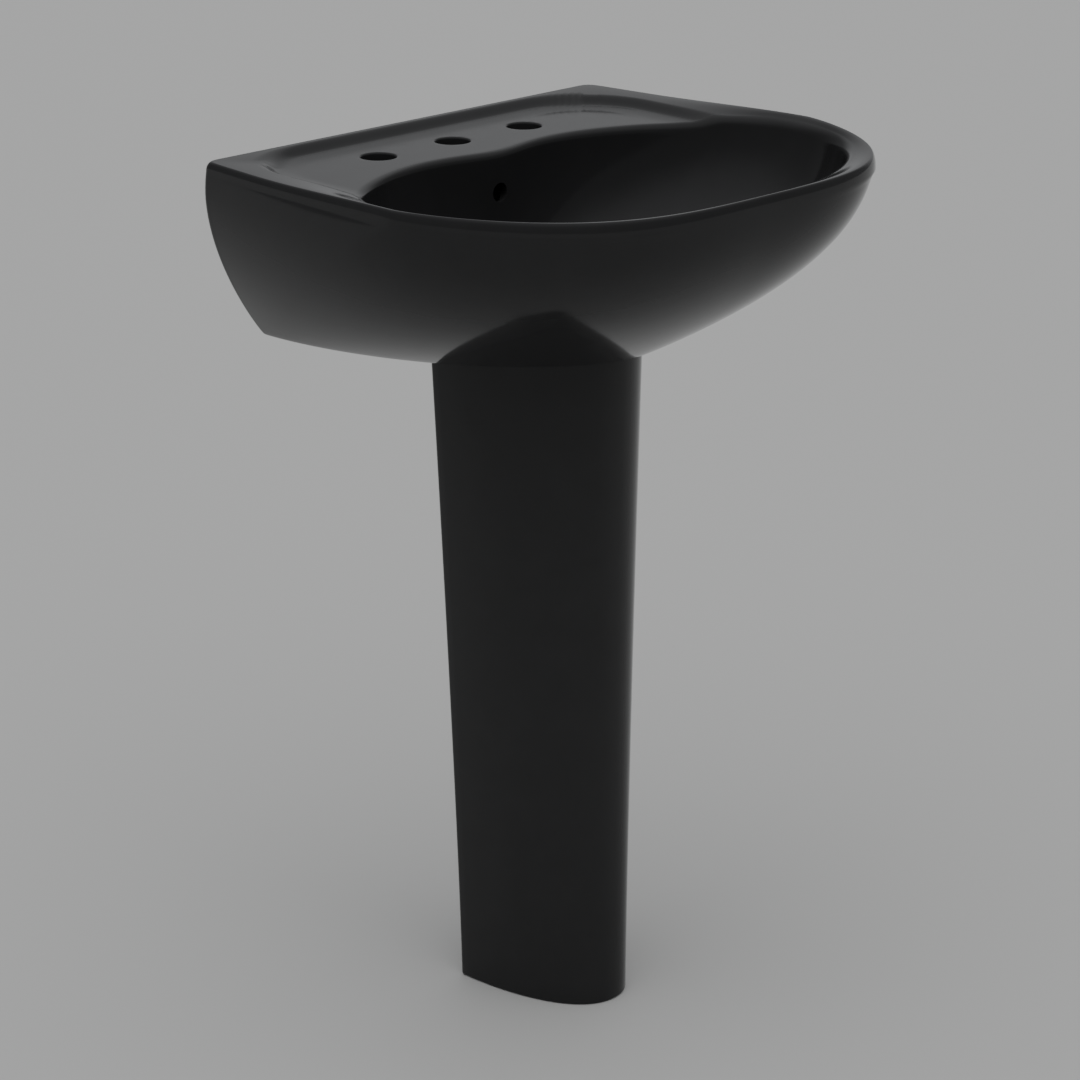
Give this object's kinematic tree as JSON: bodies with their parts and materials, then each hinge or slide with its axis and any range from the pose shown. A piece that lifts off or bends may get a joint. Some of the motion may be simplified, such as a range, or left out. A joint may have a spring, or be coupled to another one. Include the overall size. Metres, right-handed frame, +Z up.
{
  "type": "pedestal sink",
  "caption": "Glossy black china pedestal sink: a D-shaped basin with a raised back ledge and tap holes, on a slim tapering pedestal, with a push-to-close drain and trap.",
  "frame": {"origin": "on the floor, under the middle of the basin's plan", "axes": "+X to the right of a person facing the sink, +Y toward the wall, +Z up"},
  "size_m": [0.5882, 0.501, 0.892],
  "materials": {
    "black_china": "gloss glaze",
    "chrome": "polished",
    "brass": "satin",
    "steel": "zinc plated",
    "rubber": "matt",
    "nylon": "matt"
  },
  "bodies": {
    "sink": {"basin": "black_china", "pedestal": "black_china", "drain_flange": "chrome", "flange_seal": "rubber", "drain_body": "brass", "drain_gasket": "rubber", "friction_washer": "nylon", "drain_locknut": "brass", "tailpiece": "chrome", "trap_inlet_nut": "chrome", "trap_inlet_washer": "nylon", "trap_bend": "chrome", "trap_outlet_nut": "chrome", "trap_outlet_washer": "nylon", "trap_arm": "chrome", "wall_bolt_left": "steel", "wall_bush_left": "rubber", "wall_washer_left": "steel", "wall_nut_left": "steel", "floor_washer_left": "steel", "floor_screw_left": "steel", "wall_bolt_right": "steel", "wall_bush_right": "rubber", "wall_washer_right": "steel", "wall_nut_right": "steel", "floor_washer_right": "steel", "floor_screw_right": "steel"},
    "stopper": {"stopper_cap": "chrome", "stopper_stem": "brass"}
  },
  "joints": [
    {"name": "stopper_push", "type": "slide", "parent": "sink", "child": "stopper", "axis": [0, 0, 1], "range_m": [-0.009, 0], "stiffness_N_per_m": 800, "springref_m": 0.005}
  ]
}
